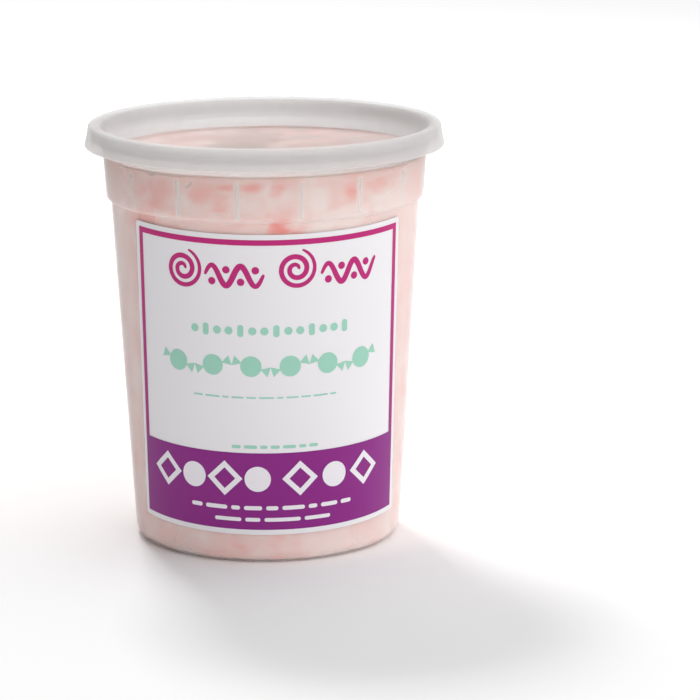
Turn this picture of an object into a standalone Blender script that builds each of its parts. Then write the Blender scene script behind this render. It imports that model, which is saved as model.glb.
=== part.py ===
"""A tub of cotton candy: a round deli tub, its press-on lid, the candy packed inside and a square front label.

The origin is the centre of the tub's base, +Z is the tub's axis, and the label faces -Y.
Sizes are in metres. A turned piece is drawn as (radius, height) corners, and each corner may have a fillet.
"""
import math

import bmesh
import bpy
from mathutils import Vector

MM = 0.001
SEGMENTS = 64                       # facets round every turned piece

# Tub: a cone with a stepped-out collar and a rolled rim
FOOT_RADIUS = 44.6 * MM             # the outer cone, carried down to the base
CONE_SLOPE = 0.0595                 # radius gained for each unit of height
TUB_WALL = 0.8 * MM
FOOT_FILLET = 4.0 * MM
FOOT_RING_INNER = 38.6 * MM
FOOT_RECESS = 1.0 * MM              # the base is lifted by this inside its foot ring
STEP_LOW = 115.4 * MM               # where the cone starts to step out
STEP_HIGH = 116.4 * MM
STEP_OUT = 1.55 * MM
COLLAR_HIGH = 130.4 * MM            # above this the wall opens towards the rim
COLLAR_SLOPE = 0.068
RIM_RADIUS = 57.6 * MM
RIM_HIGH = 139.2 * MM
RIM_LOW = 135.2 * MM                # lower edge of the rim's turned-down lip
RIM_INNER = 55.9 * MM
MOUTH_RADIUS = 53.35 * MM           # inside the wall at the top of the collar

# Stacking ribs inside the collar
RIB_COUNT = 16
RIB_LOW = 116.6 * MM
RIB_HIGH = 128.6 * MM
RIB_WIDTH = 1.1 * MM
RIB_DEPTH = 1.1 * MM
RIB_ROOT = 0.35 * MM                # how far a rib is sunk into the wall

# Lid: a recessed panel, a plug wall, a ring with rounded shoulders and a flared skirt with a catching ridge
LID_RADIUS = 60.1 * MM
LID_HIGH = 140.5 * MM
LID_WALL = 0.8 * MM
PANEL_HIGH = 130.8 * MM             # top face of the recessed panel
PANEL_RADIUS = 52.35 * MM
RING_INNER = 55.0 * MM
RING_OUTER = 58.83 * MM
RING_INNER_ROUND = 1.8 * MM         # fillets that make the ring's top a soft dome
RING_OUTER_ROUND = 1.2 * MM
FLARE_RADIUS = 59.2 * MM
FLARE_HIGH = 137.0 * MM             # below this the skirt flares out
SKIRT_LOW = 133.3 * MM
SNAP_RADIUS = 57.35 * MM            # the ridge that catches under the rim
SNAP_HEIGHT = 134.0 * MM

# Label: a flat square sheet, wrapped round the cone
LABEL_SIDE = 101.6 * MM
LABEL_CORNER = 1.2 * MM
LABEL_THICK = 0.25 * MM
LABEL_CENTRE = 61.0 * MM            # up the slanted wall, from the level of the base
LABEL_COLUMNS = 30

# Candy: packed to the wall and up to the lid
GAP = 0.35 * MM                     # clearance between pieces that touch
CANDY_LOW = FOOT_RECESS + TUB_WALL + GAP
CANDY_HIGH = 129.3 * MM
CANDY_FOOT_FILLET = 4.5 * MM
CANDY_TOP_FILLET = 6.0 * MM
CANDY_ROWS = 18
CANDY_SIDE_HOLLOW = 1.6 * MM        # depth of the dents in its side
CANDY_TOP_HOLLOW = 5.0 * MM         # depth of the dents in its top


def clear_scene():
    """Start from an empty scene."""
    for item in list(bpy.data.objects):
        bpy.data.objects.remove(item, do_unlink=True)


def plain_material(name, colour, roughness, alpha=1.0):
    """A Principled material in one colour, which none of these pieces makes metallic."""
    material = bpy.data.materials.new(name)
    material.use_nodes = True
    shader = material.node_tree.nodes["Principled BSDF"]
    shader.inputs["Base Color"].default_value = (*colour, 1.0)
    shader.inputs["Roughness"].default_value = roughness
    shader.inputs["Metallic"].default_value = 0.0
    shader.inputs["Alpha"].default_value = alpha
    return material


def add_object(name, mesh, material):
    """Turn a bmesh into a smooth-shaded object whose sharp edges stay sharp."""
    data = bpy.data.meshes.new(name)
    mesh.to_mesh(data)
    mesh.free()
    data.shade_smooth()
    data.set_sharp_from_angle(angle=math.radians(35.0))
    data.materials.append(material)
    item = bpy.data.objects.new(name, data)
    bpy.context.scene.collection.objects.link(item)
    return item


def filleted(corners, steps=2):
    """The outline through (radius, height, fillet) corners, with an arc at each corner that has a fillet."""
    outline = []
    for index, (radius, height, fillet) in enumerate(corners):
        corner = Vector((radius, height))
        if not fillet:
            outline.append(corner)
            continue
        back = (Vector(corners[index - 1][:2]) - corner).normalized()
        ahead = (Vector(corners[index + 1][:2]) - corner).normalized()
        half = back.angle(ahead) / 2.0
        middle = (back + ahead).normalized()
        centre = corner + middle * (fillet / math.sin(half))
        spoke = corner + back * (fillet / math.tan(half)) - centre
        sweep = math.pi - 2.0 * half
        turn = math.copysign(sweep, back.x * ahead.y - back.y * ahead.x)
        for step in range(steps + 1):
            angle = -turn * step / steps
            turned_spoke = Vector((spoke.x * math.cos(angle) - spoke.y * math.sin(angle),
                                   spoke.x * math.sin(angle) + spoke.y * math.cos(angle)))
            outline.append(centre + turned_spoke)
    return outline


def turned(outline):
    """Spin an outline that starts and ends on the axis into one closed body."""
    mesh = bmesh.new()
    verts = [mesh.verts.new((radius, 0.0, height)) for radius, height in outline]
    edges = [mesh.edges.new(pair) for pair in zip(verts, verts[1:])]
    bmesh.ops.spin(mesh, geom=verts + edges, cent=(0, 0, 0), axis=(0, 0, 1),
                   angle=2.0 * math.pi, steps=SEGMENTS, use_merge=True)
    bmesh.ops.remove_doubles(mesh, verts=mesh.verts, dist=0.01 * MM)
    bmesh.ops.recalc_face_normals(mesh, faces=mesh.faces)
    return mesh


def cone_radius(height):
    """Outer radius of the tub's cone at a height."""
    return FOOT_RADIUS + CONE_SLOPE * height


def collar_radius(height):
    """Outer radius of the stepped-out collar at a height."""
    return cone_radius(STEP_LOW) + STEP_OUT + COLLAR_SLOPE * (height - STEP_HIGH)


def tub_outline():
    """From under the base out to the foot, up the outside, over the rim and down the inside to the floor."""
    floor = FOOT_RECESS + TUB_WALL
    mouth_outer = collar_radius(COLLAR_HIGH)
    throat_slope = (RIM_INNER - MOUTH_RADIUS) / (RIM_HIGH - COLLAR_HIGH)
    channel_high = RIM_HIGH - TUB_WALL
    channel_inner = mouth_outer + throat_slope * (channel_high - COLLAR_HIGH)
    lip_inner = RIM_RADIUS - TUB_WALL
    return filleted([
        (0.0, FOOT_RECESS, 0.0),
        (FOOT_RING_INNER - 0.6 * MM, FOOT_RECESS, 0.0),
        (FOOT_RING_INNER, 0.0, 0.0),
        (FOOT_RADIUS, 0.0, FOOT_FILLET),
        (cone_radius(STEP_LOW), STEP_LOW, 0.0),
        (collar_radius(STEP_HIGH), STEP_HIGH, 0.0),
        (mouth_outer, COLLAR_HIGH, 0.0),
        (channel_inner, channel_high, 0.0),
        (lip_inner, channel_high, 0.0),
        (lip_inner, RIM_LOW, 0.0),
        (RIM_RADIUS, RIM_LOW, 0.0),
        (RIM_RADIUS, RIM_HIGH, 0.7 * MM),
        (RIM_INNER, RIM_HIGH, 0.5 * MM),
        (MOUTH_RADIUS, COLLAR_HIGH, 0.0),
        (collar_radius(STEP_HIGH) - TUB_WALL, STEP_HIGH + 0.3 * MM, 0.0),
        (cone_radius(STEP_LOW) - TUB_WALL, STEP_LOW + 0.3 * MM, 0.0),
        (cone_radius(floor) - TUB_WALL, floor, FOOT_FILLET - TUB_WALL),
        (0.0, floor, 0.0),
    ])


def rib_bars():
    """The stacking ribs as one mesh of separate upright bars, each sunk a little into the collar's inner wall."""
    mesh = bmesh.new()
    root_low = collar_radius(RIB_LOW) - TUB_WALL + RIB_ROOT
    root_high = collar_radius(RIB_HIGH) - TUB_WALL + RIB_ROOT
    for index in range(RIB_COUNT):
        azimuth = 2.0 * math.pi * (index + 0.5) / RIB_COUNT
        out = Vector((math.sin(azimuth), -math.cos(azimuth), 0.0))
        side = Vector((math.cos(azimuth), math.sin(azimuth), 0.0)) * (RIB_WIDTH / 2.0)
        lower = out * root_low + Vector((0.0, 0.0, RIB_LOW))
        upper = out * root_high + Vector((0.0, 0.0, RIB_HIGH))
        inward = out * (RIB_DEPTH + RIB_ROOT)
        foot = [lower - side, lower + side, lower + side - inward, lower - side - inward]
        head = [upper - side, upper + side, upper + side - inward, upper - side - inward]
        foot_verts = [mesh.verts.new(corner) for corner in foot]
        head_verts = [mesh.verts.new(corner) for corner in head]
        rings = bmesh.ops.contextual_create(mesh, geom=foot_verts)["faces"]
        rings += bmesh.ops.contextual_create(mesh, geom=head_verts)["faces"]
        edges = [edge for face in rings for edge in face.edges]
        bmesh.ops.bridge_loops(mesh, edges=edges)
    bmesh.ops.recalc_face_normals(mesh, faces=mesh.faces)
    return mesh


def make_tub():
    """The tub's turned wall, with the ribs joined to it by a union."""
    plastic = plain_material("frosted_polypropylene", (0.86, 0.83, 0.80), 0.45, 0.5)
    tub = add_object("tub", turned(tub_outline()), plastic)
    ribs = add_object("rib_cutter", rib_bars(), plastic)
    ribs.hide_render = True
    ribs.display_type = "WIRE"
    union = tub.modifiers.new("stacking_ribs", "BOOLEAN")
    union.operation = "UNION"
    union.solver = "EXACT"
    union.object = ribs
    return tub


def lid_outline():
    """From the panel's top face out and up the plug wall, over the ring, down the skirt and back underneath."""
    channel_high = LID_HIGH - LID_WALL - 0.1 * MM
    skirt_inner = RIM_RADIUS + GAP
    plug_low = PANEL_HIGH - LID_WALL
    plug_radius = MOUTH_RADIUS - GAP - 0.05 * MM
    plug_top_radius = RIM_INNER - GAP + 0.05 * MM
    return filleted([
        (0.0, PANEL_HIGH, 0.0),
        (PANEL_RADIUS, PANEL_HIGH, 0.9 * MM),
        (RING_INNER, LID_HIGH, RING_INNER_ROUND),
        (RING_OUTER, LID_HIGH, RING_OUTER_ROUND),
        (FLARE_RADIUS, FLARE_HIGH, 0.0),
        (LID_RADIUS, SKIRT_LOW, 0.35 * MM),
        (SNAP_RADIUS + 0.6 * MM, SKIRT_LOW, 0.0),
        (SNAP_RADIUS, SNAP_HEIGHT, 0.0),
        (skirt_inner + 0.15 * MM, RIM_LOW - 0.2 * MM, 0.0),
        (skirt_inner, channel_high, 0.4 * MM),
        (plug_top_radius, channel_high, 0.0),
        (plug_radius, plug_low, 0.9 * MM),
        (0.0, plug_low, 0.0),
    ])


def make_lid():
    """The lid, pushed down until its channel is over the tub's rim."""
    plastic = plain_material("milky_polypropylene", (0.82, 0.82, 0.80), 0.4, 0.7)
    return add_object("lid", turned(lid_outline()), plastic)


def dent(azimuth, along):
    """How dented the candy is, from 0 to 1, at an azimuth and a place along its outline in turns."""
    broad = math.sin(3.0 * azimuth + 5.0 * along + 0.6) * math.sin(7.0 * along + 1.1)
    middle = math.sin(5.0 * azimuth - 11.0 * along + 2.0) * math.cos(13.0 * along)
    fine = math.sin(9.0 * azimuth + 17.0 * along + 0.9)
    return 0.5 + 0.25 * broad + 0.15 * middle + 0.1 * fine


def candy_outline():
    """The space inside the tub and under the lid, less a small gap, with rows for the dents to shape."""
    waist = cone_radius(STEP_LOW) - TUB_WALL - GAP
    low = cone_radius(CANDY_LOW) - TUB_WALL - GAP
    corners = filleted([
        (0.0, CANDY_LOW, 0.0),
        (low, CANDY_LOW, CANDY_FOOT_FILLET),
        (waist, STEP_LOW, 0.0),
        (waist, CANDY_HIGH, CANDY_TOP_FILLET),
        (0.0, CANDY_HIGH, 0.0),
    ])
    spans = [(end - start).length for start, end in zip(corners, corners[1:])]
    spacing = sum(spans) / CANDY_ROWS
    outline = [corners[0]]
    for start, end, span in zip(corners, corners[1:], spans):
        parts = max(1, round(span / spacing))
        outline += [start.lerp(end, part / parts) for part in range(1, parts + 1)]
    return outline


def make_candy():
    """The floss as one soft solid: flat on the tub's floor, dented round its side and uneven on top."""
    sugar = plain_material("pink_sugar_floss", (0.86, 0.55, 0.50), 0.9)
    mesh = turned(candy_outline())
    for vert in mesh.verts:
        radius = math.hypot(vert.co.x, vert.co.y)
        azimuth = math.atan2(vert.co.y, vert.co.x)
        hollow = dent(azimuth, vert.co.z / CANDY_HIGH)
        if vert.co.z > STEP_HIGH:
            middle_hollow = dent(0.0, 1.0)
            spread = min(1.0, radius / (0.5 * FOOT_RADIUS))
            top_hollow = middle_hollow + (dent(azimuth, radius / FOOT_RADIUS) - middle_hollow) * spread
            rise = (vert.co.z - STEP_HIGH) / (CANDY_HIGH - STEP_HIGH)
            vert.co.z -= CANDY_TOP_HOLLOW * top_hollow * rise
        if vert.co.z > CANDY_LOW + CANDY_FOOT_FILLET and radius > 0.0:
            shrink = (radius - CANDY_SIDE_HOLLOW * hollow) / radius
            vert.co.x *= shrink
            vert.co.y *= shrink
    return add_object("candy", mesh, sugar)


def wrapped(flat):
    """Carry a point of the flat label, (across, up, out), on to the cone without stretching it.

    The cone unrolls into a sector whose centre is the cone's tip, below the base.
    """
    half_angle = math.atan(CONE_SLOPE)
    tip_depth = FOOT_RADIUS / CONE_SLOPE
    slant_centre = tip_depth / math.cos(half_angle) + LABEL_CENTRE
    slant = math.hypot(flat.x, slant_centre + flat.y)
    azimuth = math.atan2(flat.x, slant_centre + flat.y) / math.sin(half_angle)
    radius = slant * math.sin(half_angle) + flat.z * math.cos(half_angle)
    height = slant * math.cos(half_angle) - tip_depth - flat.z * math.sin(half_angle)
    return Vector((radius * math.sin(azimuth), -radius * math.cos(azimuth), height))


def make_label():
    """A square of label stock with rounded corners, held a hair clear of the wall."""
    paper = plain_material("printed_label_stock", (0.90, 0.90, 0.91), 0.5)
    mesh = bmesh.new()
    bmesh.ops.create_grid(mesh, x_segments=1, y_segments=1, size=LABEL_SIDE / 2.0)
    bmesh.ops.bevel(mesh, geom=mesh.verts[:], offset=LABEL_CORNER, offset_type="OFFSET", segments=3,
                    profile=0.5, affect="VERTICES", material=-1)
    for column in range(1, LABEL_COLUMNS):
        across = LABEL_SIDE * (column / LABEL_COLUMNS - 0.5)
        bmesh.ops.bisect_plane(mesh, geom=mesh.verts[:] + mesh.edges[:] + mesh.faces[:],
                               plane_co=(across, 0, 0), plane_no=(1, 0, 0))
    back = bmesh.ops.extrude_face_region(mesh, geom=mesh.faces[:])
    raised = [item for item in back["geom"] if isinstance(item, bmesh.types.BMVert)]
    bmesh.ops.translate(mesh, verts=raised, vec=(0, 0, LABEL_THICK))
    bmesh.ops.translate(mesh, verts=mesh.verts, vec=(0, 0, GAP))
    bmesh.ops.recalc_face_normals(mesh, faces=mesh.faces)
    for vert in mesh.verts:
        vert.co = wrapped(vert.co)
    return add_object("label", mesh, paper)


clear_scene()
make_tub()
make_lid()
make_candy()
make_label()
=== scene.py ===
"""Looks of a tub of cotton candy: frosted deli tub, milky lid, packed spun sugar and a printed label.

Sizes are in metres, heights are above the tub's base, and the label faces -Y.
A turned piece is drawn as (radius, height, fillet) corners from the axis out and back to the axis.
"""

import math

import bmesh
import bpy
from mathutils import Euler, Matrix, Vector, noise


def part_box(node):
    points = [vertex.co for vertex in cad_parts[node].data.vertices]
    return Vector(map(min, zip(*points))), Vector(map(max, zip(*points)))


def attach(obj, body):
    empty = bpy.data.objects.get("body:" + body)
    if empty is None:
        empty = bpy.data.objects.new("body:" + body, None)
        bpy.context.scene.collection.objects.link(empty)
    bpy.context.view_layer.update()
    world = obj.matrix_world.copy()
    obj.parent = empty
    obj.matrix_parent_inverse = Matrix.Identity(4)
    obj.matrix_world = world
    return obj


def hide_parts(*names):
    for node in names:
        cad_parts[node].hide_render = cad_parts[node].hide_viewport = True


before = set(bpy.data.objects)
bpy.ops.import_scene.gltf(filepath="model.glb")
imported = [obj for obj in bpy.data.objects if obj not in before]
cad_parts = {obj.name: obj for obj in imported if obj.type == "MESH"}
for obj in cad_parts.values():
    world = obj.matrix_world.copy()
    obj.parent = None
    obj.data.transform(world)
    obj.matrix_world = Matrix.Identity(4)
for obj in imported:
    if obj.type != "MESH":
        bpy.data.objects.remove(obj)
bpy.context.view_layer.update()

MM = 0.001
tub_low, tub_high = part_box("tub")
lid_low, lid_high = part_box("lid")

# Tub
RIM_RADIUS = tub_high.x
RIM_HIGH = tub_high.z
RIM_LOW = RIM_HIGH - 4.0 * MM
RIM_INNER = RIM_RADIUS - 1.7 * MM
TUB_WALL = 0.8 * MM
FOOT_RADIUS = 44.6 * MM
CONE_SLOPE = 0.0595
FOOT_FILLET = 4.0 * MM
FOOT_RING_INNER = 38.6 * MM
FOOT_RECESS = 1.0 * MM
STEP_LOW = 115.4 * MM
STEP_HIGH = 116.4 * MM
STEP_OUT = 1.55 * MM
COLLAR_HIGH = 130.4 * MM
COLLAR_SLOPE = 0.068
MOUTH_RADIUS = 53.35 * MM
FLOOR_HIGH = FOOT_RECESS + TUB_WALL

RIB_COUNT = 16
RIB_LOW = 116.6 * MM
RIB_HIGH = 128.6 * MM
RIB_WIDTH = 1.1 * MM
RIB_DEPTH = 0.7 * MM
RIB_ROOT = 0.42 * MM                        # how deep a rib is sunk into the wall
RIB_ROUND = 0.25 * MM

# Lid
LID_RADIUS = lid_high.x + 0.1 * MM          # the skirt's edge before it is rounded
LID_HIGH = lid_high.z
PANEL_LOW = lid_low.z
PANEL_HIGH = PANEL_LOW + 0.8 * MM
PANEL_RADIUS = 52.35 * MM
RING_INNER = 55.0 * MM
RING_OUTER = 58.83 * MM
RING_INNER_ROUND = 1.8 * MM
RING_OUTER_ROUND = 1.2 * MM
FLARE_RADIUS = 59.2 * MM
FLARE_HIGH = 137.0 * MM
SKIRT_LOW = 133.3 * MM
SNAP_RADIUS = 57.35 * MM
SNAP_HEIGHT = 134.0 * MM
PLUG_GAP = 0.35 * MM
PANEL_MILK = 0.06                           # how much milkier the panel is than the lid's walls

# Label
LABEL_SIDE = 101.6 * MM
LABEL_CENTRE = 61.0 * MM                    # up the slanted wall from the level of the base
LABEL_CORNER = 1.2 * MM
GLUE_GAP = 0.05 * MM
SHEET_THICK = 0.12 * MM
INK_LIFT = 0.03 * MM
INK_THICK = 0.02 * MM
INK_RUN_LOW = 40.0 * MM                     # the inks run from foot to head colour between these heights
INK_RUN_HIGH = 100.0 * MM
LABEL_STRIP = 1.5 * MM                      # the label is bent in strips this wide

# Candy
FLOSS_PINK = "#FBD6CF"
FLOSS_CORAL = "#FB9085"
FLOSS_CREAM = "#FEEFEA"
FIBRE_STREAK = 1.6 * MM                     # a few fibres together, because one alone is too fine to show

ROUND_SEGMENTS = 192


# ---------------------------------------------------------------- shape helpers

def filleted(corners, steps=5):
    """The outline through (radius, height, fillet) corners, with an arc at each corner that has a fillet."""
    outline = []
    for index, (radius, height, fillet) in enumerate(corners):
        corner = Vector((radius, height))
        if not fillet:
            outline.append(corner)
            continue
        back = (Vector(corners[index - 1][:2]) - corner).normalized()
        ahead = (Vector(corners[index + 1][:2]) - corner).normalized()
        half = back.angle(ahead) / 2.0
        centre = corner + (back + ahead).normalized() * (fillet / math.sin(half))
        spoke = corner + back * (fillet / math.tan(half)) - centre
        turn = math.copysign(math.pi - 2.0 * half, back.x * ahead.y - back.y * ahead.x)
        outline += [centre + Matrix.Rotation(-turn * step / steps, 2) @ spoke for step in range(steps + 1)]
    return outline


def turned(outline, segments=ROUND_SEGMENTS):
    """Spin an outline that starts and ends on the axis into one closed body."""
    mesh = bmesh.new()
    verts = [mesh.verts.new((radius, 0.0, height)) for radius, height in outline]
    edges = [mesh.edges.new(pair) for pair in zip(verts, verts[1:])]
    bmesh.ops.spin(mesh, geom=verts + edges, cent=(0, 0, 0), axis=(0, 0, 1),
                   angle=2.0 * math.pi, steps=segments, use_merge=True)
    bmesh.ops.remove_doubles(mesh, verts=mesh.verts, dist=0.002 * MM)
    bmesh.ops.recalc_face_normals(mesh, faces=mesh.faces)
    return mesh


def add_piece(name, mesh, material, sharp=40.0):
    """Turn a bmesh into a finished piece that rides on the tub's body."""
    data = bpy.data.meshes.new(name)
    mesh.to_mesh(data)
    mesh.free()
    data.shade_smooth()
    data.set_sharp_from_angle(angle=math.radians(sharp))
    data.materials.append(material)
    piece = bpy.data.objects.new(name, data)
    bpy.context.scene.collection.objects.link(piece)
    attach(piece, "root")
    return piece


def smoothstep(low, high, value):
    """0 below low, 1 above high, and a smooth rise between."""
    share = min(1.0, max(0.0, (value - low) / (high - low)))
    return share * share * (3.0 - 2.0 * share)


# ---------------------------------------------------------------- material helpers

def linear(hex_colour):
    """An sRGB hex colour as the linear colour that a shader wants."""
    channels = [int(hex_colour[start:start + 2], 16) / 255.0 for start in (1, 3, 5)]
    return (*[c / 12.92 if c <= 0.04045 else ((c + 0.055) / 1.055) ** 2.4 for c in channels], 1.0)


def start_material(name):
    """A new material with an empty node tree."""
    material = bpy.data.materials.new(name)
    material.use_nodes = True
    material.node_tree.nodes.clear()
    return material, material.node_tree


def add_node(tree, kind, settings=None, inputs=None):
    """Add one node with its settings, and set its inputs to values or link them to sockets."""
    item = tree.nodes.new(kind)
    for name, value in (settings or {}).items():
        setattr(item, name, value)
    for name, value in (inputs or {}).items():
        if isinstance(value, bpy.types.NodeSocket):
            tree.links.new(value, item.inputs[name])
        else:
            item.inputs[name].default_value = value
    return item


# ---------------------------------------------------------------- materials

def hazy_polypropylene(name, colour, tint_colour, haze_face, haze_edge, roughness, glow, flow_size):
    """Moulded polypropylene: a faint milky veil over what lies behind, thicker where the wall is edge on.

    Part of the veil scatters light that comes from behind, and the moulded skin adds a broad soft gloss. The
    attribute "milk" adds to the veil, and "throat_shade_and_panel_tint" turns the plastic to the tint
    colour:
    on the tub that is a painted shade, greyer plastic in the throat under the lid's skirt, and on the lid it
    tints the panel.
    """
    material, tree = start_material(name)
    place = add_node(tree, "ShaderNodeTexCoord").outputs["Object"]
    flow = add_node(tree, "ShaderNodeTexNoise", {"noise_dimensions": "3D"},
                    {"Vector": place, "Scale": 1.0 / flow_size, "Detail": 2.0, "Roughness": 0.5})
    facing = add_node(tree, "ShaderNodeLayerWeight", inputs={"Blend": 0.2})
    haze = add_node(tree, "ShaderNodeMapRange", inputs={
        "Value": facing.outputs["Facing"], "From Min": 0.0, "From Max": 1.0,
        "To Min": haze_face, "To Max": haze_edge})
    cloud = add_node(tree, "ShaderNodeMapRange", inputs={
        "Value": flow.outputs["Fac"], "From Min": 0.3, "From Max": 0.7, "To Min": 0.92, "To Max": 1.08})
    clouded = add_node(tree, "ShaderNodeMath", {"operation": "MULTIPLY"},
                       {0: haze.outputs["Result"], 1: cloud.outputs["Result"]})
    throat_shade_and_panel_tint = add_node(tree, "ShaderNodeAttribute", {"attribute_name": "throat_shade_and_panel_tint"})
    milk = add_node(tree, "ShaderNodeAttribute", {"attribute_name": "milk"})
    veil = add_node(tree, "ShaderNodeMath", {"operation": "ADD", "use_clamp": True},
                    {0: clouded.outputs[0], 1: milk.outputs["Fac"]})
    tint = add_node(tree, "ShaderNodeMix", {"data_type": "RGBA"}, {
        "Factor": throat_shade_and_panel_tint.outputs["Fac"], "A": linear(colour), "B": linear(tint_colour)})
    rough = add_node(tree, "ShaderNodeMapRange", inputs={
        "Value": flow.outputs["Fac"], "From Min": 0.3, "From Max": 0.7,
        "To Min": roughness - 0.04, "To Max": roughness + 0.05})
    ripple = add_node(tree, "ShaderNodeBump", inputs={
        "Height": flow.outputs["Fac"], "Strength": 0.25, "Distance": 0.25 * MM})
    skin = add_node(tree, "ShaderNodeBsdfPrincipled", inputs={
        "Base Color": tint.outputs["Result"], "Roughness": rough.outputs["Result"], "IOR": 1.49,
        "Specular IOR Level": 0.35, "Normal": ripple.outputs["Normal"]})
    lit_behind = add_node(tree, "ShaderNodeBsdfTranslucent", inputs={"Color": tint.outputs["Result"]})
    body = add_node(tree, "ShaderNodeMixShader", inputs={
        0: glow, 1: skin.outputs[0], 2: lit_behind.outputs[0]})
    clear = add_node(tree, "ShaderNodeBsdfTransparent", inputs={"Color": linear("#FFFFFF")})
    wall = add_node(tree, "ShaderNodeMixShader", inputs={
        0: veil.outputs[0], 1: clear.outputs[0], 2: body.outputs[0]})
    add_node(tree, "ShaderNodeOutputMaterial", inputs={"Surface": wall.outputs[0]})
    return material


def spun_sugar():
    """Cotton candy: matt and soft, pale where it lies airy and coral where it is pressed hard. Part of the
    pale is painted light, along the ribs and low on the base, and one coral spot is a painted fold shadow.

    Squeezed fibres lie in long faint streaks, and a light fuzz brightens the floss where it turns away.
    """
    material, tree = start_material("spun_sugar")
    place = add_node(tree, "ShaderNodeTexCoord").outputs["Object"]
    # The pale share is airy floss plus painted light: highlights along the ribs and a lit patch low on the
    # base. The coral share also holds one painted fold shadow.
    packed_and_fold_shadow = add_node(tree, "ShaderNodeAttribute", {"attribute_name": "packed_and_fold_shadow"})
    loose_and_painted_light = add_node(tree, "ShaderNodeAttribute", {"attribute_name": "loose_and_painted_light"})
    pressed_colour = add_node(tree, "ShaderNodeMix", {"data_type": "RGBA"}, {
        "Factor": packed_and_fold_shadow.outputs["Fac"], "A": linear(FLOSS_PINK), "B": linear(FLOSS_CORAL)})
    colour = add_node(tree, "ShaderNodeMix", {"data_type": "RGBA"}, {
        "Factor": loose_and_painted_light.outputs["Fac"], "A": pressed_colour.outputs["Result"], "B": linear(FLOSS_CREAM)})
    laid = add_node(tree, "ShaderNodeMapping", inputs={
        "Vector": place, "Rotation": (0.35, 0.2, 0.0), "Scale": (0.22, 0.22, 1.0)})
    fibres = add_node(tree, "ShaderNodeTexNoise", {"noise_dimensions": "3D"},
                      {"Vector": laid.outputs["Vector"], "Scale": 1.0 / FIBRE_STREAK, "Detail": 3.0})
    streak = add_node(tree, "ShaderNodeMapRange", inputs={
        "Value": fibres.outputs["Fac"], "From Min": 0.35, "From Max": 0.65, "To Min": 0.0, "To Max": 0.18})
    streaked = add_node(tree, "ShaderNodeMix", {"data_type": "RGBA"}, {
        "Factor": streak.outputs["Result"], "A": colour.outputs["Result"], "B": linear(FLOSS_CREAM)})
    nap = add_node(tree, "ShaderNodeBump", inputs={
        "Height": fibres.outputs["Fac"], "Strength": 0.2, "Distance": 0.15 * MM})
    floss = add_node(tree, "ShaderNodeBsdfPrincipled", inputs={
        "Base Color": streaked.outputs["Result"], "Roughness": 0.9, "Subsurface Weight": 0.2,
        "Subsurface Scale": 2.5 * MM, "Subsurface Radius": (1.0, 0.6, 0.5), "Sheen Weight": 0.2,
        "Sheen Roughness": 0.6, "Specular IOR Level": 0.2, "Normal": nap.outputs["Normal"]})
    add_node(tree, "ShaderNodeOutputMaterial", inputs={"Surface": floss.outputs[0]})
    return material


def coated_label_stock():
    """White coated paper: smooth, with the low sheen of a varnished label."""
    material, tree = start_material("coated_label_stock")
    stock = add_node(tree, "ShaderNodeBsdfPrincipled", inputs={
        "Base Color": linear("#F3F1F4"), "Roughness": 0.45, "IOR": 1.45})
    add_node(tree, "ShaderNodeOutputMaterial", inputs={"Surface": stock.outputs[0]})
    return material


def printing_ink(name, top_colour, foot_colour):
    """Process ink under the label's varnish, running from one colour at its head to another at its foot."""
    material, tree = start_material(name)
    place = add_node(tree, "ShaderNodeTexCoord").outputs["Object"]
    height = add_node(tree, "ShaderNodeSeparateXYZ", inputs={"Vector": place})
    run = add_node(tree, "ShaderNodeMapRange", inputs={
        "Value": height.outputs["Z"], "From Min": INK_RUN_LOW, "From Max": INK_RUN_HIGH})
    colour = add_node(tree, "ShaderNodeMix", {"data_type": "RGBA"}, {
        "Factor": run.outputs["Result"], "A": linear(foot_colour), "B": linear(top_colour)})
    ink = add_node(tree, "ShaderNodeBsdfPrincipled", inputs={
        "Base Color": colour.outputs["Result"], "Roughness": 0.42, "IOR": 1.45, "Specular IOR Level": 0.3})
    add_node(tree, "ShaderNodeOutputMaterial", inputs={"Surface": ink.outputs[0]})
    return material


def studio_white():
    """Matt white paper for the studio floor."""
    material, tree = start_material("studio_white")
    paper = add_node(tree, "ShaderNodeBsdfPrincipled", inputs={
        "Base Color": linear("#FDFDFD"), "Roughness": 0.9, "Specular IOR Level": 0.0})
    add_node(tree, "ShaderNodeOutputMaterial", inputs={"Surface": paper.outputs[0]})
    return material


# ---------------------------------------------------------------- tub and lid

def cone_radius(height):
    """Outer radius of the tub's cone at a height."""
    return FOOT_RADIUS + CONE_SLOPE * height


def collar_radius(height):
    """Outer radius of the stepped-out collar at a height."""
    return cone_radius(STEP_LOW) + STEP_OUT + COLLAR_SLOPE * (height - STEP_HIGH)


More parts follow.
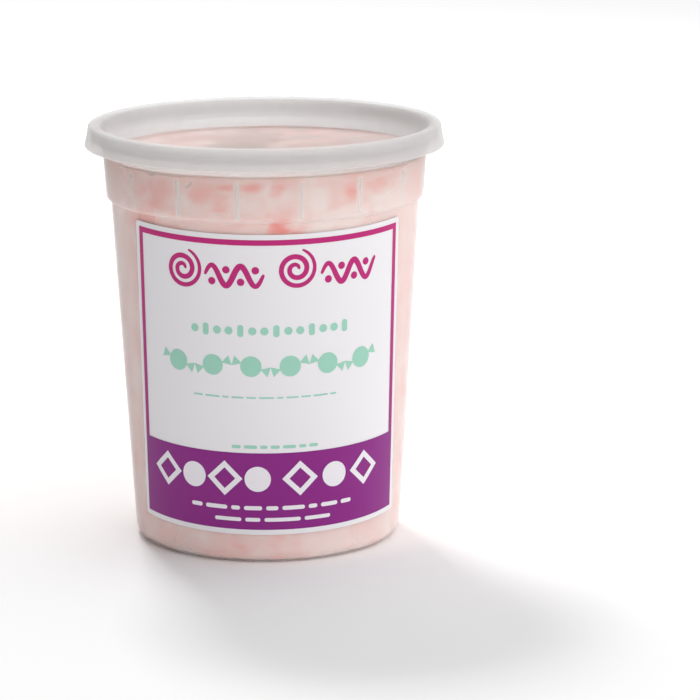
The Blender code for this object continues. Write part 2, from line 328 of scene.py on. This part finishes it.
def tub_outline():
    """Under the base, round the foot, up the outside, over the rim and down the inside to the floor."""
    mouth_outer = collar_radius(COLLAR_HIGH)
    throat_slope = (RIM_INNER - MOUTH_RADIUS) / (RIM_HIGH - COLLAR_HIGH)
    channel_high = RIM_HIGH - TUB_WALL
    channel_inner = mouth_outer + throat_slope * (channel_high - COLLAR_HIGH)
    lip_inner = RIM_RADIUS - TUB_WALL
    return filleted([
        (0.0, FOOT_RECESS, 0.0),
        (FOOT_RING_INNER - 0.6 * MM, FOOT_RECESS, 0.3 * MM),
        (FOOT_RING_INNER, 0.0, 0.3 * MM),
        (FOOT_RADIUS, 0.0, FOOT_FILLET),
        (cone_radius(STEP_LOW), STEP_LOW, 0.3 * MM),
        (collar_radius(STEP_HIGH), STEP_HIGH, 0.3 * MM),
        (mouth_outer, COLLAR_HIGH, 1.5 * MM),
        (channel_inner, channel_high, 0.0),
        (lip_inner, channel_high, 0.0),
        (lip_inner, RIM_LOW, 0.3 * MM),
        (RIM_RADIUS, RIM_LOW, 0.3 * MM),
        (RIM_RADIUS, RIM_HIGH, 0.7 * MM),
        (RIM_INNER, RIM_HIGH, 0.5 * MM),
        (MOUTH_RADIUS, COLLAR_HIGH, 1.5 * MM),
        (collar_radius(STEP_HIGH) - TUB_WALL, STEP_HIGH + 0.3 * MM, 0.4 * MM),
        (cone_radius(STEP_LOW) - TUB_WALL, STEP_LOW + 0.3 * MM, 0.4 * MM),
        (cone_radius(FLOOR_HIGH) - TUB_WALL, FLOOR_HIGH, FOOT_FILLET - TUB_WALL),
        (0.0, FLOOR_HIGH, 0.0),
    ])


def rib_bars():
    """The stacking ribs as upright bars with rounded inner edges, each sunk a little into the collar."""
    ribs = bmesh.new()
    lean = math.atan(COLLAR_SLOPE)
    depth = RIB_DEPTH + RIB_ROOT
    height = RIB_HIGH - RIB_LOW
    middle = (RIB_HIGH + RIB_LOW) / 2.0
    middle_radius = collar_radius(middle) - TUB_WALL + RIB_ROOT - depth / 2.0
    for index in range(RIB_COUNT):
        bar = bmesh.ops.create_cube(ribs, size=1.0)["verts"]
        bmesh.ops.scale(ribs, verts=bar, vec=(RIB_WIDTH, depth, height))
        bmesh.ops.rotate(ribs, verts=bar, matrix=Matrix.Rotation(lean, 3, "X"))
        bmesh.ops.translate(ribs, verts=bar, vec=(0.0, -middle_radius, middle))
        azimuth = 2.0 * math.pi * (index + 0.5) / RIB_COUNT
        bmesh.ops.rotate(ribs, verts=bar, matrix=Matrix.Rotation(azimuth, 3, "Z"))
    bmesh.ops.bevel(ribs, geom=ribs.edges[:], offset=RIB_ROUND, offset_type="OFFSET", segments=2,
                    profile=0.5, affect="EDGES", material=-1)
    return ribs


def paint(piece, attribute, value):
    """Store a value for each point of a piece, which its material reads."""
    layer = piece.data.attributes.new(attribute, "FLOAT", "POINT")
    for vert in piece.data.vertices:
        layer.data[vert.index].value = value(vert.co)


def throat_shade_share(place):
    """1 on the empty throat above the floss, 0 on the rest of the tub; the throat is tinted grey there, a
    painted shade under the lid's skirt.
    """
    return smoothstep(COLLAR_HIGH - 4.0 * MM, COLLAR_HIGH, place.z)


def panel_share(place):
    """1 on the lid's slim panel, 0 on its walls."""
    return 1.0 - smoothstep(PANEL_RADIUS - 6.0 * MM, PANEL_RADIUS, math.hypot(place.x, place.y))


def make_tub():
    # The tint colour #CFC8C4 is a painted shade: it greys the tub's throat above the floss, under the lid's
    # skirt.
    plastic = hazy_polypropylene("frosted_polypropylene", "#F7F7F7", "#CFC8C4", haze_face=0.16,
                                 haze_edge=0.85, roughness=0.42, glow=0.4, flow_size=22.0 * MM)
    tub = add_piece("tub_wall", turned(tub_outline()), plastic)
    paint(tub, "throat_shade_and_panel_tint", throat_shade_share)
    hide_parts("tub")
    rib_plastic = hazy_polypropylene("frosted_polypropylene_rib", "#FAFAFA", "#FAFAFA", haze_face=0.5,
                                     haze_edge=0.5, roughness=0.42, glow=0.0, flow_size=22.0 * MM)
    add_piece("stacking_ribs", rib_bars(), rib_plastic, sharp=25.0)


def lid_outline():
    """The panel's top, up the plug wall, over the ring, down the flared skirt and back underneath."""
    channel_high = LID_HIGH - 0.9 * MM
    skirt_inner = RIM_RADIUS + PLUG_GAP
    return filleted([
        (0.0, PANEL_HIGH, 0.0),
        (PANEL_RADIUS, PANEL_HIGH, 0.9 * MM),
        (RING_INNER, LID_HIGH, RING_INNER_ROUND),
        (RING_OUTER, LID_HIGH, RING_OUTER_ROUND),
        (FLARE_RADIUS, FLARE_HIGH, 2.0 * MM),
        (LID_RADIUS, SKIRT_LOW, 0.35 * MM),
        (SNAP_RADIUS + 0.6 * MM, SKIRT_LOW, 0.2 * MM),
        (SNAP_RADIUS, SNAP_HEIGHT, 0.2 * MM),
        (skirt_inner + 0.15 * MM, RIM_LOW - 0.2 * MM, 0.3 * MM),
        (skirt_inner, channel_high, 0.4 * MM),
        (RIM_INNER - PLUG_GAP + 0.05 * MM, channel_high, 0.3 * MM),
        (MOUTH_RADIUS - PLUG_GAP - 0.05 * MM, PANEL_LOW, 0.9 * MM),
        (0.0, PANEL_LOW, 0.0),
    ])


def make_lid():
    # The tint colour #DBD8D5 makes the lid's panel greyer than its walls.
    plastic = hazy_polypropylene("milky_polypropylene", "#F4F4F4", "#DBD8D5", haze_face=0.45, haze_edge=0.95,
                                 roughness=0.48, glow=0.62, flow_size=18.0 * MM)
    lid = add_piece("lid_cap", turned(lid_outline()), plastic)
    paint(lid, "throat_shade_and_panel_tint", panel_share)
    paint(lid, "milk", lambda place: PANEL_MILK * panel_share(place))
    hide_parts("lid")


# ---------------------------------------------------------------- candy

CANDY_SEGMENTS = 360
CANDY_ROW = 0.9 * MM
CANDY_REACH = 0.34 * MM             # pressed floss reaches this far into the wall, so that no gap shows
SIDE_PILLOW_DEPTH = 0.16 * MM
SIDE_FOLD_DEPTH = 0.08 * MM
TOP_PILLOW_DEPTH = 4.0 * MM
TOP_FOLD_DEPTH = 0.8 * MM
FUZZ_DEPTH = 0.12 * MM

# Places where the floss is pressed hard, the first of them, just above the label's head, a painted fold
# shadow:
# azimuth in degrees from the label's middle, height, half width, half height, strength
PACKED_AND_FOLD_SHADOW_PLACES = [
    # Painted shadow: the shade of a fold in the floss, drawn as the deepest coral.
    (3.5, 113.4 * MM, 5.5 * MM, 3.6 * MM, 1.0),
    (11.0, 111.6 * MM, 6.0 * MM, 3.0 * MM, 0.75),
    (0.0, 117.6 * MM, 2.6 * MM, 1.8 * MM, 0.6),
    (-3.5, 127.0 * MM, 8.5 * MM, 1.5 * MM, 0.7),
    (1.5, 125.2 * MM, 3.0 * MM, 1.4 * MM, 0.6),
    (-15.0, 127.2 * MM, 5.5 * MM, 0.9 * MM, 0.5),
    (-17.0, 122.6 * MM, 3.0 * MM, 2.0 * MM, 0.35),
    (-19.0, 119.8 * MM, 3.6 * MM, 1.2 * MM, 0.5),
    (-24.0, 124.5 * MM, 6.0 * MM, 3.0 * MM, 0.3),
    (-45.0, 121.5 * MM, 9.0 * MM, 7.0 * MM, 0.45),
    (-45.0, 119.5 * MM, 3.6 * MM, 2.2 * MM, 0.75),
    (-52.0, 112.6 * MM, 9.5 * MM, 4.5 * MM, 0.7),
    (-37.0, 111.0 * MM, 6.0 * MM, 2.5 * MM, 0.45),
    (13.0, 120.0 * MM, 4.0 * MM, 5.0 * MM, 0.25),
    (30.0, 124.6 * MM, 3.4 * MM, 3.6 * MM, 0.5),
    (43.0, 125.6 * MM, 8.0 * MM, 2.8 * MM, 0.4),
]

# Places where it is airy and pale, written the same way; the last, low on the base right of the label's
# middle, is painted light
PALE_PLACES = [
    (17.0, 122.5 * MM, 6.0 * MM, 5.0 * MM, 0.8),
    (28.0, 116.0 * MM, 12.0 * MM, 5.0 * MM, 0.6),
    (-7.0, 121.5 * MM, 4.5 * MM, 3.5 * MM, 0.5),
    (-27.0, 119.0 * MM, 5.0 * MM, 2.5 * MM, 0.35),
    (52.0, 118.5 * MM, 10.0 * MM, 5.0 * MM, 0.5),
    # Painted light: paler floss low on the base, as if light came through the floss from behind.
    (25.0, 5.0 * MM, 22.0 * MM, 6.0 * MM, 0.45),
]


def inner_wall(height):
    """Inside radius of the tub at a height."""
    if height > STEP_HIGH:
        return collar_radius(height) - TUB_WALL
    if height > STEP_LOW:
        share = (height - STEP_LOW) / (STEP_HIGH - STEP_LOW)
        return cone_radius(STEP_LOW) - TUB_WALL + share * STEP_OUT
    return cone_radius(height) - TUB_WALL


def candy_outline():
    """The space inside the tub and under the lid, down into the foot ring, cut into rows for the relief."""
    high = PANEL_LOW - 0.2 * MM
    corners = filleted([
        (0.0, FLOOR_HIGH, 0.0),
        (FOOT_RING_INNER - 0.6 * MM, FLOOR_HIGH, 0.0),
        (FOOT_RING_INNER + TUB_WALL, TUB_WALL, 0.0),
        (FOOT_RADIUS - TUB_WALL, TUB_WALL, FOOT_FILLET - TUB_WALL),
        (inner_wall(STEP_LOW), STEP_LOW, 0.0),
        (inner_wall(STEP_HIGH + 0.3 * MM), STEP_HIGH + 0.3 * MM, 0.0),
        (inner_wall(COLLAR_HIGH), COLLAR_HIGH, 0.0),
        (inner_wall(COLLAR_HIGH) - 0.3 * MM, high, 1.0 * MM),
        (0.0, high, 0.0),
    ])
    outline = [corners[0]]
    for start, end in zip(corners, corners[1:]):
        parts = max(1, round((end - start).length / CANDY_ROW))
        outline += [start.lerp(end, part / parts) for part in range(1, parts + 1)]
    return outline


def relief(place):
    """How far the floss stands back at a place: broad pillows, long folds in them and fine fuzz."""
    wound = Vector((place.x, place.y, place.z * 1.6)) / MM
    pillow = smoothstep(0.0, 0.6, noise.fractal(wound / 24.0, 1.0, 2.0, 3))
    fold = smoothstep(0.86, 1.0, 1.0 - abs(noise.noise(wound / 13.0 + Vector((7.0, 3.0, 1.0)))))
    fuzz = noise.fractal(wound / 2.2, 1.0, 2.0, 2)
    return pillow, fold, fuzz


def rib_highlight_share(place):
    """1 on the floss that lies along a rib, 0 between the ribs. The floss there is painted pale, a painted
    highlight that makes the rib read as a light line.
    """
    if not RIB_LOW < place.z < RIB_HIGH:
        return 0.0
    turn = math.degrees(math.atan2(place.x, -place.y)) * RIB_COUNT / 360.0 + 0.5
    away = abs(turn - round(turn)) * 2.0 * math.pi * math.hypot(place.x, place.y) / RIB_COUNT
    return 1.0 - smoothstep(0.4 * MM, 1.6 * MM, away)


def place_share(place, spots):
    """How far a place lies inside a list of soft ragged spots, from 0 to 1."""
    azimuth = math.degrees(math.atan2(place.x, -place.y))
    radius = math.hypot(place.x, place.y)
    drift = noise.noise(place / (6.0 * MM))
    share = 0.0
    for spot_azimuth, spot_height, half_width, half_height, strength in spots:
        away = (azimuth - spot_azimuth + 180.0) % 360.0 - 180.0
        across = math.radians(away) * radius / half_width
        up = (place.z - spot_height) / half_height
        near = 1.0 - smoothstep(0.35, 1.25, math.hypot(across, up) + 0.5 * drift)
        share = max(share, strength * near)
    return share


def make_candy():
    mesh = turned(candy_outline(), CANDY_SEGMENTS)
    mesh.normal_update()
    packed_and_fold_shadow_layer = mesh.verts.layers.float.new("packed_and_fold_shadow")
    loose_and_painted_light_layer = mesh.verts.layers.float.new("loose_and_painted_light")
    moves = {}
    for vert in mesh.verts:
        place = vert.co
        pillow, fold, fuzz = relief(place)
        packed_and_fold_shadow = place_share(place, PACKED_AND_FOLD_SHADOW_PLACES)
        pale = place_share(place, PALE_PLACES)
        edge = inner_wall(COLLAR_HIGH) - math.hypot(place.x, place.y)
        on_top = smoothstep(0.5 * MM, 6.0 * MM, edge) if place.z > RIB_HIGH else 0.0
        deepest = SIDE_PILLOW_DEPTH + (TOP_PILLOW_DEPTH - SIDE_PILLOW_DEPTH) * on_top
        creased = SIDE_FOLD_DEPTH + (TOP_FOLD_DEPTH - SIDE_FOLD_DEPTH) * on_top
        depth = (1.0 - packed_and_fold_shadow) * (pillow * deepest + fold * creased) + FUZZ_DEPTH * fuzz * on_top
        clump = noise.fractal(place / (11.0 * MM) + Vector((4.0, 9.0, 2.0)), 1.0, 2.0, 4)
        wisp = noise.fractal(Vector((place.x, place.y, place.z * 2.5)) / (7.0 * MM), 1.0, 2.0, 3)
        blush = 0.22 * smoothstep(0.0, 0.7, clump) + 0.12 * smoothstep(0.0, 0.5, wisp)
        # Along each rib the floss is painted paler and less coral, a painted highlight that makes the rib
        # show as a light line.
        rib = rib_highlight_share(place)
        vert[packed_and_fold_shadow_layer] = min(1.0, packed_and_fold_shadow + blush * (1.0 - pale)) * (1.0 - 0.7 * rib)
        vert[loose_and_painted_light_layer] = min(1.0, max(pale, 0.8 * rib, 0.6 * smoothstep(0.05, 0.8, -clump) + 0.3 * fold))
        moves[vert] = -vert.normal * (depth - CANDY_REACH)
    for vert, move in moves.items():
        vert.co += move
    candy = add_piece("candy_floss", mesh, spun_sugar(), sharp=180.0)
    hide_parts("candy")


# ---------------------------------------------------------------- label

def wrapped(flat):
    """Carry a point of the flat label, (across, up, out), on to the tub's cone without stretching it."""
    half_angle = math.atan(CONE_SLOPE)
    tip_depth = FOOT_RADIUS / CONE_SLOPE
    slant_centre = tip_depth / math.cos(half_angle) + LABEL_CENTRE
    slant = math.hypot(flat.x, slant_centre + flat.y)
    azimuth = math.atan2(flat.x, slant_centre + flat.y) / math.sin(half_angle)
    radius = slant * math.sin(half_angle) + flat.z * math.cos(half_angle)
    height = slant * math.cos(half_angle) - tip_depth - flat.z * math.sin(half_angle)
    return Vector((radius * math.sin(azimuth), -radius * math.cos(azimuth), height))


def lay_on_tub(mesh, lift, thick):
    """Cut a flat shape into narrow strips, give it a thickness and wrap it round the tub."""
    low = min(vert.co.x for vert in mesh.verts)
    high = max(vert.co.x for vert in mesh.verts)
    first = math.ceil(low / LABEL_STRIP)
    last = math.floor(high / LABEL_STRIP)
    for strip in range(first, last + 1):
        bmesh.ops.bisect_plane(mesh, geom=mesh.verts[:] + mesh.edges[:] + mesh.faces[:],
                               plane_co=(strip * LABEL_STRIP, 0, 0), plane_no=(1, 0, 0))
    raised = bmesh.ops.extrude_face_region(mesh, geom=mesh.faces[:])["geom"]
    raised_verts = [item for item in raised if isinstance(item, bmesh.types.BMVert)]
    bmesh.ops.translate(mesh, verts=raised_verts, vec=(0, 0, thick))
    bmesh.ops.translate(mesh, verts=mesh.verts, vec=(0, 0, lift))
    bmesh.ops.recalc_face_normals(mesh, faces=mesh.faces)
    for vert in mesh.verts:
        vert.co = wrapped(vert.co)
    return mesh


def add_block(mesh, across, up, width, height, corner=0.0, tilt=0.0):
    """Add a flat rounded rectangle, centred at (across, up) and tilted by degrees."""
    verts = bmesh.ops.create_grid(mesh, x_segments=1, y_segments=1, size=0.5)["verts"]
    bmesh.ops.scale(mesh, verts=verts, vec=(width, height, 1.0))
    if corner:
        rounded = bmesh.ops.bevel(mesh, geom=verts, offset=corner, offset_type="OFFSET", segments=5,
                                  profile=0.5, affect="VERTICES", material=-1)
        verts = list({vert for face in rounded["faces"] for vert in face.verts} | set(rounded["verts"]))
    bmesh.ops.rotate(mesh, verts=verts, matrix=Matrix.Rotation(math.radians(tilt), 3, "Z"))
    bmesh.ops.translate(mesh, verts=verts, vec=(across, up, 0.0))


def add_disc(mesh, across, up, radius, sides=32):
    """Add a flat disc."""
    verts = bmesh.ops.create_circle(mesh, cap_ends=True, cap_tris=True, segments=sides,
                                    radius=radius)["verts"]
    bmesh.ops.translate(mesh, verts=verts, vec=(across, up, 0.0))


def add_diamond(mesh, across, up, reach, line):
    """Add the outline of a diamond, whose corners are at a reach from its middle."""
    outer = bmesh.ops.create_circle(mesh, segments=4, radius=reach)["verts"]
    inner = bmesh.ops.create_circle(mesh, segments=4, radius=reach - line * math.sqrt(2.0))["verts"]
    edges = list({edge for vert in outer + inner for edge in vert.link_edges})
    bmesh.ops.bridge_loops(mesh, edges=edges)
    bmesh.ops.translate(mesh, verts=outer + inner, vec=(across, up, 0.0))


def add_stroke(mesh, path, width, steps):
    """Add a flat brush stroke along a path, (across, up) for a share from 0 to 1, thinner at both ends."""
    sides = []
    for hand in (-0.5, 0.5):
        verts = []
        for step in range(steps + 1):
            share = step / steps
            ahead = (path(share + 0.001) - path(share - 0.001)).normalized()
            spread = hand * width * (0.35 + 0.65 * math.sin(math.pi * share) ** 0.4)
            point = path(share) + Vector((-ahead.y, ahead.x)) * spread
            verts.append(mesh.verts.new((point.x, point.y, 0.0)))
        sides += [mesh.edges.new(pair) for pair in zip(verts, verts[1:])]
    bmesh.ops.bridge_loops(mesh, edges=sides)


def add_dashes(mesh, up, low, high, thick, lengths, gap):
    """Fill a line from low to high across with rounded dashes, whose lengths repeat."""
    start = low
    index = 0
    while start + lengths[index % len(lengths)] <= high:
        length = lengths[index % len(lengths)]
        add_block(mesh, start + length / 2.0, up, length, thick, 0.48 * thick)
        start += length + gap
        index += 1


INK_SHEET_LIFT = GLUE_GAP + SHEET_THICK + INK_LIFT
OVERPRINT_LIFT = INK_SHEET_LIFT + INK_THICK + INK_LIFT
FRAME_WIDTH = 98.0 * MM
FRAME_HEIGHT = 98.2 * MM
FRAME_LINE = 1.85 * MM
BAND_TOP = -22.7 * MM               # up from the label's centre

SCROLL_UP = 37.0 * MM
SCROLL_WIDTH = 2.0 * MM
SWIRLS = [(-29.5 * MM, 38.2 * MM), (8.5 * MM, 39.2 * MM)]
SWIRL_RADIUS = 6.7 * MM
SWIRL_TURNS = 2.2
WAVES = [(-21.5 * MM, -2.0 * MM), (17.0 * MM, 38.0 * MM)]
WAVE_HEIGHT = 3.3 * MM
WAVE_LENGTH = 9.6 * MM
WAVE_BEAD = 1.25 * MM

SWEET_COUNT = 6
SWEET_PITCH = 12.8 * MM
SWEET_UP = 6.8 * MM
SWEET_RADIUS = 3.5 * MM
SWEET_WING = 2.0 * MM
SWEET_TILT = 18.0
BEAD_COUNT = 14
BEAD_PITCH = 3.9 * MM
BEAD_UP = 18.7 * MM
BEAD_RADIUS = 1.35 * MM
BADGE_UP = -31.6 * MM
BADGE_REACH = 6.0 * MM
BADGES = [-37.5, -26.5, -15.5, -4.5, 9.5, 21.5, 33.5]      # mm across

# Lines of dashes: up, from and to across, thickness, the lengths in turn, gap
MINT_DASHES = [
    (-3.8 * MM, -26.0 * MM, 27.0 * MM, 0.55 * MM, [3.2 * MM, 5.0 * MM, 2.2 * MM, 4.0 * MM], 0.9 * MM),
    (-20.6 * MM, -13.0 * MM, 16.0 * MM, 1.1 * MM, [3.0 * MM, 4.4 * MM, 2.4 * MM], 1.0 * MM),
]
BAND_DASHES = [
    (-41.6 * MM, -27.5 * MM, 30.0 * MM, 1.4 * MM, [4.0 * MM, 7.5 * MM, 3.0 * MM, 6.0 * MM], 1.3 * MM),
    (-45.6 * MM, -19.0 * MM, 21.5 * MM, 1.3 * MM, [9.0 * MM, 5.0 * MM, 12.0 * MM], 1.3 * MM),
]


def label_frame():
    """The printed line round the top and sides, which ends on the band."""
    mesh = bmesh.new()
    add_block(mesh, 0.0, 0.0, FRAME_WIDTH, FRAME_HEIGHT)
    bmesh.ops.inset_region(mesh, faces=mesh.faces[:], thickness=FRAME_LINE, use_boundary=True,
                           use_even_offset=True)
    middle = min(mesh.faces, key=lambda face: face.calc_center_median().length)
    bmesh.ops.delete(mesh, geom=[middle], context="FACES")
    bmesh.ops.bisect_plane(mesh, geom=mesh.verts[:] + mesh.edges[:] + mesh.faces[:],
                           plane_co=(0, BAND_TOP, 0), plane_no=(0, 1, 0), clear_inner=True)
    return mesh


def label_band():
    """The solid field across the label's foot."""
    mesh = bmesh.new()
    foot = -FRAME_HEIGHT / 2.0
    add_block(mesh, 0.0, (BAND_TOP + foot) / 2.0, FRAME_WIDTH, BAND_TOP - foot)
    return mesh


def title_scroll():
    """Two sugar swirls, each with a running wave and beads after it."""
    mesh = bmesh.new()
    for across, up in SWIRLS:
        def swirl(share, middle=Vector((across, up))):
            angle = 2.0 * math.pi * SWIRL_TURNS * share
            reach = SWIRL_RADIUS * (0.12 + 0.88 * share)
            return middle + reach * Vector((math.cos(angle), math.sin(angle)))
        add_stroke(mesh, swirl, 0.85 * SCROLL_WIDTH, 90)
    for low, high in WAVES:
        def wave(share, low=low, high=high):
            across = low + (high - low) * share
            turn = 2.0 * math.pi * (across - low) / WAVE_LENGTH
            return Vector((across, SCROLL_UP + WAVE_HEIGHT * math.sin(turn)))
        add_stroke(mesh, wave, SCROLL_WIDTH, 90)
        for half in range(int(2.0 * (high - low) / WAVE_LENGTH)):
            across = low + (half + 0.5) * WAVE_LENGTH / 2.0
            add_disc(mesh, across, SCROLL_UP + (0.6 if half % 2 else -0.6) * WAVE_HEIGHT, WAVE_BEAD, 20)
    return mesh


def mint_row():
    """A row of wrapped sweets under a row of beads, and two lines of fine dashes."""
    mesh = bmesh.new()
    for index in range(SWEET_COUNT):
        sweet = bmesh.new()
        add_disc(sweet, 0.0, 0.0, SWEET_RADIUS)
        for side in (-1.0, 1.0):
            wing = bmesh.ops.create_circle(sweet, cap_ends=True, segments=3, radius=SWEET_WING)["verts"]
            bmesh.ops.rotate(sweet, verts=wing, matrix=Matrix.Rotation(side * math.pi / 2.0, 3, "Z"))
            bmesh.ops.translate(sweet, verts=wing, vec=(side * (SWEET_RADIUS + 0.85 * SWEET_WING), 0.0, 0.0))
        tilt = SWEET_TILT if index % 2 else -SWEET_TILT
        bmesh.ops.rotate(sweet, verts=sweet.verts, matrix=Matrix.Rotation(math.radians(tilt), 3, "Z"))
        across = (index - (SWEET_COUNT - 1) / 2.0) * SWEET_PITCH
        bmesh.ops.translate(sweet, verts=sweet.verts, vec=(across, SWEET_UP, 0.0))
        piece = bpy.data.meshes.new("sweet")
        sweet.to_mesh(piece)
        sweet.free()
        mesh.from_mesh(piece)
        bpy.data.meshes.remove(piece)
    for index in range(BEAD_COUNT):
        across = (index - (BEAD_COUNT - 1) / 2.0) * BEAD_PITCH
        if index % 3 == 1:
            add_block(mesh, across, BEAD_UP, 1.5 * BEAD_RADIUS, 3.0 * BEAD_RADIUS, 0.7 * BEAD_RADIUS)
        else:
            add_disc(mesh, across, BEAD_UP, BEAD_RADIUS, 20)
    for line in MINT_DASHES:
        add_dashes(mesh, *line)
    return mesh


def band_row():
    """White diamonds and discs in turn, over two lines of dashes."""
    mesh = bmesh.new()
    for index, place in enumerate(BADGES):
        if index % 2:
            add_disc(mesh, place * MM, BADGE_UP, 0.72 * BADGE_REACH)
        else:
            add_diamond(mesh, place * MM, BADGE_UP, BADGE_REACH, 1.7 * MM)
    for line in BAND_DASHES:
        add_dashes(mesh, *line)
    return mesh


def make_label():
    sheet = bmesh.new()
    add_block(sheet, 0.0, 0.0, LABEL_SIDE, LABEL_SIDE, LABEL_CORNER)
    stock = add_piece("label_sheet", lay_on_tub(sheet, GLUE_GAP, SHEET_THICK), coated_label_stock(),
                      sharp=30.0)
    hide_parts("label")
    magenta = printing_ink("magenta_ink", "#C4267A", "#A62A84")
    purple = printing_ink("purple_ink", "#8E2486", "#8E2486")
    mint = printing_ink("mint_ink", "#A3D8C4", "#A3D8C4")
    white = printing_ink("white_ink", "#F4F0F6", "#F4F0F6")
    for name, print_shape, lift, ink in (
            ("label_frame", label_frame, INK_SHEET_LIFT, magenta),
            ("label_band", label_band, INK_SHEET_LIFT, purple),
            ("title_scroll", title_scroll, INK_SHEET_LIFT, magenta),
            ("mint_row", mint_row, INK_SHEET_LIFT, mint),
            ("band_row", band_row, OVERPRINT_LIFT, white)):
        add_piece(name, lay_on_tub(print_shape(), lift, INK_THICK), ink, sharp=30.0)


# ---------------------------------------------------------------- studio

def make_floor():
    mesh = bmesh.new()
    bmesh.ops.create_grid(mesh, x_segments=1, y_segments=1, size=6.0)
    data = bpy.data.meshes.new("floor")
    mesh.to_mesh(data)
    mesh.free()
    data.materials.append(studio_white())
    floor = bpy.data.objects.new("floor", data)
    bpy.context.scene.collection.objects.link(floor)


AIR_LEFT = 0.0                      # strength of the light from the label's left, and from its right
AIR_RIGHT = 0.97
AIR_ABOVE = 0.2                     # what is added straight overhead
AIR_DIM_END = -0.7                  # how far to the left the light has reached its dimmest
AIR_BRIGHT_END = 0.4                # how far to the right it has reached its brightest

# Softboxes: name, place, size, power in watts
SOFTBOXES = [
    ("back_key", (-0.29, 1.01, 1.3), 0.34, 12.5),
    ("front_fill", (0.35, -1.25, 0.3), 0.7, 1.2),
]


def add_softbox(name, place, size, power):
    """A square white area lamp that faces the middle of the tub."""
    lamp = bpy.data.lights.new(name, "AREA")
    lamp.shape = "SQUARE"
    lamp.size = size
    lamp.energy = power
    softbox = bpy.data.objects.new(name, lamp)
    softbox.location = place
    aim = Vector((0.0, 0.0, LID_HIGH / 2.0)) - Vector(place)
    softbox.rotation_euler = aim.to_track_quat("-Z", "Y").to_euler()
    bpy.context.scene.collection.objects.link(softbox)


def light_studio():
    """White studio air, dim to the label's left, a lamp behind for the shadow and a weak one in front."""
    world = bpy.data.worlds.new("studio_air")
    world.use_nodes = True
    tree = world.node_tree
    tree.nodes.clear()
    direction = add_node(tree, "ShaderNodeTexCoord").outputs["Generated"]
    axes = add_node(tree, "ShaderNodeSeparateXYZ", inputs={"Vector": direction})
    side = add_node(tree, "ShaderNodeMapRange", {"interpolation_type": "SMOOTHSTEP"}, {
        "Value": axes.outputs["X"], "From Min": AIR_DIM_END, "From Max": AIR_BRIGHT_END,
        "To Min": AIR_LEFT, "To Max": AIR_RIGHT})
    above = add_node(tree, "ShaderNodeMath", {"operation": "MAXIMUM"}, {0: axes.outputs["Z"], 1: 0.0})
    strength = add_node(tree, "ShaderNodeMath", {"operation": "MULTIPLY_ADD"},
                        {0: above.outputs[0], 1: AIR_ABOVE, 2: side.outputs["Result"]})
    air = add_node(tree, "ShaderNodeBackground", inputs={
        "Color": linear("#FFFFFF"), "Strength": strength.outputs[0]})
    add_node(tree, "ShaderNodeOutputWorld", inputs={"Surface": air.outputs[0]})
    bpy.context.scene.world = world
    for softbox in SOFTBOXES:
        add_softbox(*softbox)


def set_camera():
    """A long lens, a little above the tub and to the label's left."""
    distance = 1.1473
    height = 0.3178
    azimuth = math.radians(-1.48)
    heading = math.radians(2.89)
    pitch = math.radians(12.56)
    roll = math.radians(-0.22)
    lens = bpy.data.cameras.new("studio_camera")
    lens.sensor_width = 36.0
    lens.lens = 178.5
    lens.clip_start = 0.05
    camera = bpy.data.objects.new("studio_camera", lens)
    camera.location = (distance * math.sin(azimuth), -distance * math.cos(azimuth), height)
    level = Euler((math.radians(90.0) - pitch, 0.0, -heading)).to_matrix()
    camera.rotation_euler = (level @ Matrix.Rotation(roll, 3, "Z")).to_euler()
    bpy.context.scene.collection.objects.link(camera)
    bpy.context.scene.camera = camera


make_tub()
make_lid()
make_candy()
make_label()
make_floor()
light_studio()
set_camera()

bpy.context.scene.view_settings.view_transform = "Standard"
